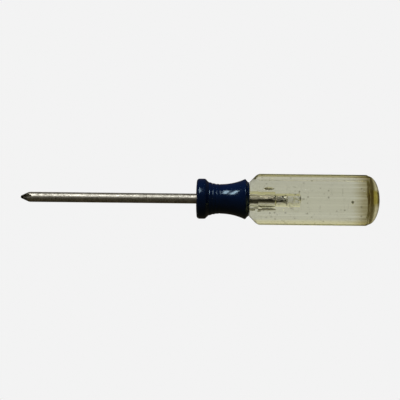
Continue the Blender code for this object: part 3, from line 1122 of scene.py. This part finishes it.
# %% Lights
def soft_box(name, azimuth, elevation, width, height, power):
    """An area light 1 m away that faces the tool. Azimuth is in degrees from +Y towards -X."""
    light = bpy.data.lights.new(name, "AREA")
    light.shape = "RECTANGLE"
    light.size = width
    light.size_y = height
    light.energy = power
    lamp = bpy.data.objects.new(name, light)
    bpy.context.scene.collection.objects.link(lamp)
    turn, rise = math.radians(azimuth), math.radians(elevation)
    level = math.cos(rise)
    towards = Vector((-math.sin(turn) * level, math.cos(turn) * level, math.sin(rise)))
    lamp.location = towards
    lamp.rotation_euler = towards.to_track_quat("Z", "Y").to_euler()
    print(name, "at", [round(v, 2) for v in lamp.location])
    return lamp


soft_box("pane_right", azimuth=10, elevation=40, width=0.14, height=0.46, power=2.6)
soft_box("pane_left", azimuth=30, elevation=42, width=0.14, height=0.46, power=2.6)
low_sky = soft_box("low_sky", azimuth=10, elevation=6, width=1.2, height=0.25, power=13.0)
low_sky.data.color = (0.55, 0.80, 1.0)
low_sky.visible_glossy = False
low_sky.visible_transmission = False

# %% [markdown]
# ## The room
#
# The room is a world that answers each kind of ray in its own way. The camera sees the table's pale
# tone go on for ever. Reflections see a dark room, so that metal and dark plastic keep their depth.
# Light that comes through the clear handle sees a pale room below it. The domed butt bends such light
# towards the tip's side, and there the room is dark and amber with a paler window in the middle, which
# gives the dome its dark rim and the round amber spot. Real cards and lamps under a real glass table
# would do the same, but they would be in the way of the other views.

# %% The room below
PALE = (0.62, 0.63, 0.61)
MIDDLE_STOPS = [
    (0.0, PALE),
    (0.03, (0.18, 0.15, 0.07)),
    (0.12, (0.13, 0.10, 0.035)),
    (0.25, (0.12, 0.09, 0.025)),
    (0.33, (0.44, 0.40, 0.12)),
    (0.60, (0.58, 0.53, 0.16)),
    (0.68, (0.17, 0.145, 0.06)),
    (1.0, (0.15, 0.13, 0.07)),
]
FLANK_STOPS = [
    (0.0, PALE),
    (0.03, (0.24, 0.21, 0.12)),
    (0.16, (0.17, 0.15, 0.08)),
    (0.27, (0.17, 0.155, 0.09)),
    (0.38, (0.42, 0.41, 0.30)),
    (0.50, (0.95, 0.95, 0.90)),
    (1.0, (0.60, 0.60, 0.56)),
]
SIDE_GLOW = (1.28, 1.24, 1.16)

world = bpy.data.worlds.new("room")
bpy.context.scene.world = world
world.use_nodes = True
tree = world.node_tree
axes = node(tree, "ShaderNodeSeparateXYZ")
direction = node(tree, "ShaderNodeTexCoord")
tree.links.new(direction.outputs["Generated"], axes.inputs["Vector"])
east, north, height = axes.outputs["X"], axes.outputs["Y"], axes.outputs["Z"]

to_tip = math_node(tree, "MULTIPLY", east, -1.0)
aside = math_node(tree, "ABSOLUTE", north)
middle = ramp(tree, to_tip, MIDDLE_STOPS)
flank = ramp(tree, to_tip, FLANK_STOPS)
below = mix(tree, map_range(tree, aside, 0.13, 0.22), middle, flank)
# All of this counts for steep rays. Flatter ones find the pale room.
steep = map_range(tree, height, -0.35, -0.50)
below = mix(tree, steep, PALE, below)
glow = math_node(tree, "MULTIPLY", map_range(tree, aside, 0.60, 0.74), steep)
below = multiply(tree, below, SIDE_GLOW, glow)
print("stops below:", len(MIDDLE_STOPS), "and", len(FLANK_STOPS))

# %% The room above, and who sees what
ABOVE_STOPS = [(0.46, (0.02, 0.02, 0.015)), (0.52, (0.30, 0.30, 0.27)), (0.62, (1.15, 1.16, 1.10))]
ROOM_TONE = (0.058, 0.050, 0.032, 1)

# Dark on one side, the windows' pale wall on the other.
above = ramp(tree, map_range(tree, north, -1.0, 1.0), ABOVE_STOPS)
around = mix(tree, map_range(tree, height, -0.08, 0.06), below, above)
room = tree.nodes["Background"]
room.inputs["Color"].default_value = ROOM_TONE
through = node(tree, "ShaderNodeBackground")
tree.links.new(around, through.inputs["Color"])
backdrop = node(tree, "ShaderNodeBackground")
backdrop.inputs["Color"].default_value = (TABLE_TONE, TABLE_TONE, TABLE_TONE, 1)
ray = node(tree, "ShaderNodeLightPath")
seen = room.outputs["Background"]
for kind, background in (("Is Transmission Ray", through), ("Is Camera Ray", backdrop)):
    choice = node(tree, "ShaderNodeMixShader")
    tree.links.new(ray.outputs[kind], choice.inputs["Fac"])
    tree.links.new(seen, choice.inputs[1])
    tree.links.new(background.outputs["Background"], choice.inputs[2])
    seen = choice.outputs["Shader"]
tree.links.new(seen, tree.nodes["World Output"].inputs["Surface"])
print(world.name, "nodes:", len(tree.nodes))

# %% [markdown]
# ## Camera
#
# The camera looks almost straight down from 1.2 m, leaning and rolled by a little, which shows the
# sides of the handle by different amounts. A wide lens close by would make the near parts too large.

# %% Camera
CAMERA_DISTANCE = 1.2
CAMERA_LEAN = math.radians(3.25)
CAMERA_ROLL = math.radians(0.62)
AIM = Vector((-0.1 * MM, -0.77 * MM, AXIS_Z))
VIEW_WIDTH = 0.2320
SENSOR = 36.0
camera_data = bpy.data.cameras.new("camera")
camera = bpy.data.objects.new("camera", camera_data)
bpy.context.scene.collection.objects.link(camera)
camera_data.sensor_width = SENSOR
camera_data.lens = SENSOR * CAMERA_DISTANCE / VIEW_WIDTH
camera_data.clip_start = 0.01
camera.rotation_euler = (CAMERA_LEAN, 0, CAMERA_ROLL)
back = camera.rotation_euler.to_matrix() @ Vector((0, 0, 1))
camera.location = AIM + back * CAMERA_DISTANCE
bpy.context.scene.camera = camera
bpy.context.scene.view_settings.view_transform = "Standard"

# Light bounces many times between the walls of a clear handle before it gets out.
bpy.context.scene.cycles.max_bounces = 32
bpy.context.scene.cycles.glossy_bounces = 24
bpy.context.scene.cycles.transmission_bounces = 24
print("camera at", [round(v, 3) for v in camera.location])
